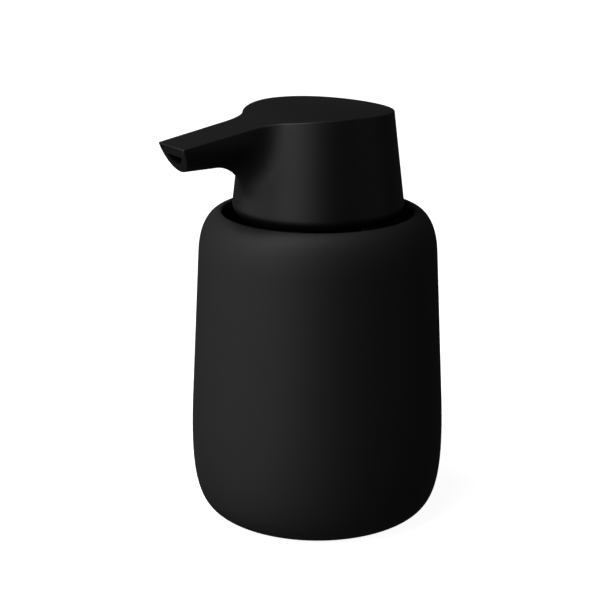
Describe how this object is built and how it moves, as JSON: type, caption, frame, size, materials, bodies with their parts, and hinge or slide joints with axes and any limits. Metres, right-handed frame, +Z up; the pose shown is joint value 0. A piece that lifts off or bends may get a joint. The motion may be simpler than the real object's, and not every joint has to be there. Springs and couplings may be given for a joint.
{
  "type": "soap pump dispenser",
  "caption": "Squat matt-black ceramic bottle with a rounded base and a broad push-down pump head, whose flat-topped spout slopes down over the side.",
  "frame": {"origin": "centre of the resting face, on the vessel's axis", "axes": "+Z up along the vessel's axis; the spout points along -Y at rest; +X completes the right-handed frame"},
  "size_m": [0.086, 0.0978, 0.1381],
  "materials": {
    "stoneware": "matt black glaze",
    "head_plastic": "matt black, very fine",
    "black_moulding": "satin black",
    "white_moulding": "satin, unpigmented",
    "piston_plastic": "smooth, soft polyethylene",
    "clear_tube": "cloudy, extruded",
    "soft_seal": "smooth silicone",
    "soft_pad": "matt",
    "steel": "stainless, bright drawn"
  },
  "bodies": {
    "vessel": {"vessel": "stoneware", "base_pad": "soft_pad"},
    "pump_unit": {"closure_plug": "black_moulding", "closure_gasket": "soft_seal", "plug_seal": "soft_seal", "pump_housing": "white_moulding", "housing_gasket": "soft_seal", "collar_nut": "black_moulding", "lock_ring": "white_moulding", "stem_wiper": "soft_seal", "ball_cage": "white_moulding", "dip_tube": "clear_tube"},
    "inlet_valve": {"inlet_ball": "steel"},
    "plunger": {"piston_seal": "piston_plastic", "return_spring": "steel"},
    "head": {"stem": "white_moulding", "piston_rod": "white_moulding", "outlet_stop": "white_moulding", "head_shell": "head_plastic", "actuator_core": "white_moulding", "spout_tube": "clear_tube"},
    "outlet_valve": {"outlet_ball": "steel"}
  },
  "joints": [
    {"name": "lift_out", "type": "slide", "parent": "vessel", "child": "pump_unit", "axis": [0, 0, 1], "range_m": [0, 0.105]},
    {"name": "press", "type": "slide", "parent": "pump_unit", "child": "plunger", "axis": [0, 0, -1], "range_m": [0, 0.011], "stiffness_N_per_m": 700, "springref_m": -0.007, "deforming": ["return_spring"]},
    {"name": "swivel", "type": "hinge", "parent": "plunger", "child": "head", "pos_m": [0, 0, 0.08], "axis": [0, 0, 1], "continuous": true},
    {"name": "inlet_lift", "type": "slide", "parent": "pump_unit", "child": "inlet_valve", "axis": [0, 0, 1], "range_m": [0, 0.0012]},
    {"name": "outlet_lift", "type": "slide", "parent": "head", "child": "outlet_valve", "axis": [0, 0, 1], "range_m": [0, 0.0012]}
  ]
}
